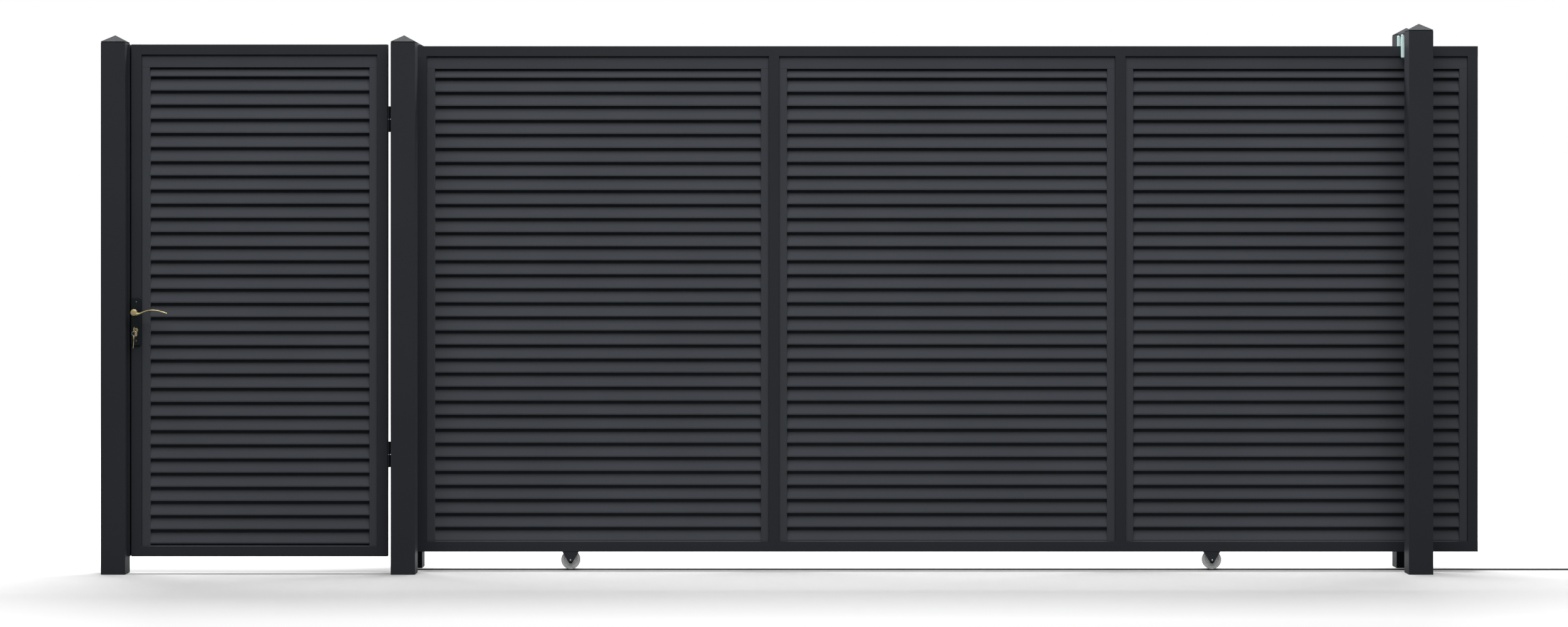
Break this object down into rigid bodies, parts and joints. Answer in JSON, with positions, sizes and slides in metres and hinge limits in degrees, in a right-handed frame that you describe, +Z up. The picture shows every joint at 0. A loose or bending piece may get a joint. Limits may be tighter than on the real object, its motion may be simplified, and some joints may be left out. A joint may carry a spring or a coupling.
{
  "type": "sliding metal gate with wicket",
  "caption": "Louvred metal sliding gate on a floor rail between paired posts, with a hinged louvred wicket, lever lock, wheels and top guide rollers.",
  "frame": {"origin": "centre of the foot of the middle front post, at ground level", "axes": "+X along the gate, the way the sliding leaf opens; +Y from the outside to the inside; +Z up"},
  "size_m": [8.3235, 0.358, 2.146],
  "materials": {
    "frame_paint": "fine matt powder coat, anthracite grey",
    "louvre_paint": "fine matt powder coat, a lighter anthracite grey",
    "black_steel": "satin black paint",
    "rail_steel": "dark mill steel, worn on its crown",
    "wheel_steel": "grey zinc-plated steel",
    "zinc_steel": "bright zinc-plated steel",
    "guide_nylon": "pale mint white nylon",
    "brass": "satin brass"
  },
  "bodies": {
    "posts": {"floor_rail": "rail_steel", "guide_axles": "zinc_steel", "guide_plate": "frame_paint", "guide_post_front": "frame_paint", "guide_post_front_cap": "frame_paint", "guide_post_rear": "frame_paint", "guide_post_rear_cap": "frame_paint", "hinge_post_barrels": "black_steel", "latch_post": "frame_paint", "latch_post_cap": "frame_paint", "middle_post_front": "frame_paint", "middle_post_front_cap": "frame_paint", "middle_post_rear": "frame_paint", "middle_post_rear_cap": "frame_paint", "strike_bar": "frame_paint"},
    "wicket_leaf": {"hinge_leaf_barrels": "black_steel", "key_in_lock": "brass", "key_ring": "zinc_steel", "lock_cylinder": "brass", "lock_plate_inside": "black_steel", "lock_plate_outside": "black_steel", "spare_key": "brass", "wicket_bottom_rail": "frame_paint", "wicket_hinge_stile": "frame_paint", "wicket_lock_stile": "frame_paint", "wicket_louvre_panel": "louvre_paint", "wicket_top_rail": "frame_paint"},
    "lock_lever": {"lever_inside": "brass", "lever_outside": "brass"},
    "sliding_leaf": {"gate_bottom_rail": "frame_paint", "gate_front_stile": "frame_paint", "gate_louvre_panel_left": "louvre_paint", "gate_louvre_panel_middle": "louvre_paint", "gate_louvre_panel_right": "louvre_paint", "gate_middle_stile_left": "frame_paint", "gate_middle_stile_right": "frame_paint", "gate_tail_stile": "frame_paint", "gate_top_rail": "frame_paint", "wheel_bracket_left": "frame_paint", "wheel_bracket_right": "frame_paint"},
    "floor_wheel_left": {"floor_wheel_left": "wheel_steel"},
    "floor_wheel_right": {"floor_wheel_right": "wheel_steel"},
    "guide_roller_front_left": {"guide_roller_front_left": "guide_nylon"},
    "guide_roller_front_right": {"guide_roller_front_right": "guide_nylon"},
    "guide_roller_rear_left": {"guide_roller_rear_left": "guide_nylon"},
    "guide_roller_rear_right": {"guide_roller_rear_right": "guide_nylon"}
  },
  "joints": [
    {"name": "gate_slide", "type": "slide", "parent": "posts", "child": "sliding_leaf", "axis": [1, 0, 0], "range_m": [0, 3.85]},
    {"name": "wicket_swing", "type": "hinge", "parent": "posts", "child": "wicket_leaf", "pos_m": [-0.059, -0.0005, 0.066], "axis": [0, 0, 1], "range_deg": [0, 90]},
    {"name": "lever_turn", "type": "hinge", "parent": "wicket_leaf", "child": "lock_lever", "pos_m": [-1.046, 0.0225, 1.02], "axis": [0, 1, 0], "range_deg": [0, 45], "stiffness_Nm_per_rad": 1, "springref_deg": -34.38},
    {"name": "wheel_left_spin", "type": "hinge", "parent": "sliding_leaf", "child": "floor_wheel_left", "pos_m": [0.6425, 0.1275, 0.0423], "axis": [0, 1, 0], "continuous": true},
    {"name": "wheel_right_spin", "type": "hinge", "parent": "sliding_leaf", "child": "floor_wheel_right", "pos_m": [3.1685, 0.1275, 0.0423], "axis": [0, 1, 0], "continuous": true},
    {"name": "roller_front_left_spin", "type": "hinge", "parent": "posts", "child": "guide_roller_front_left", "pos_m": [3.924, 0.0865, 2.065], "axis": [0, 0, 1], "continuous": true},
    {"name": "roller_front_right_spin", "type": "hinge", "parent": "posts", "child": "guide_roller_front_right", "pos_m": [3.998, 0.0865, 2.065], "axis": [0, 0, 1], "continuous": true},
    {"name": "roller_rear_left_spin", "type": "hinge", "parent": "posts", "child": "guide_roller_rear_left", "pos_m": [3.924, 0.1685, 2.065], "axis": [0, 0, 1], "continuous": true},
    {"name": "roller_rear_right_spin", "type": "hinge", "parent": "posts", "child": "guide_roller_rear_right", "pos_m": [3.998, 0.1685, 2.065], "axis": [0, 0, 1], "continuous": true}
  ],
  "couplings": [
    {"joint": "wheel_left_spin", "follows": "gate_slide", "rad_per_m": 28.986},
    {"joint": "wheel_right_spin", "follows": "gate_slide", "rad_per_m": 28.986},
    {"joint": "roller_front_left_spin", "follows": "gate_slide", "rad_per_m": -62.5},
    {"joint": "roller_front_right_spin", "follows": "gate_slide", "rad_per_m": -62.5},
    {"joint": "roller_rear_left_spin", "follows": "gate_slide", "rad_per_m": 62.5},
    {"joint": "roller_rear_right_spin", "follows": "gate_slide", "rad_per_m": 62.5}
  ]
}
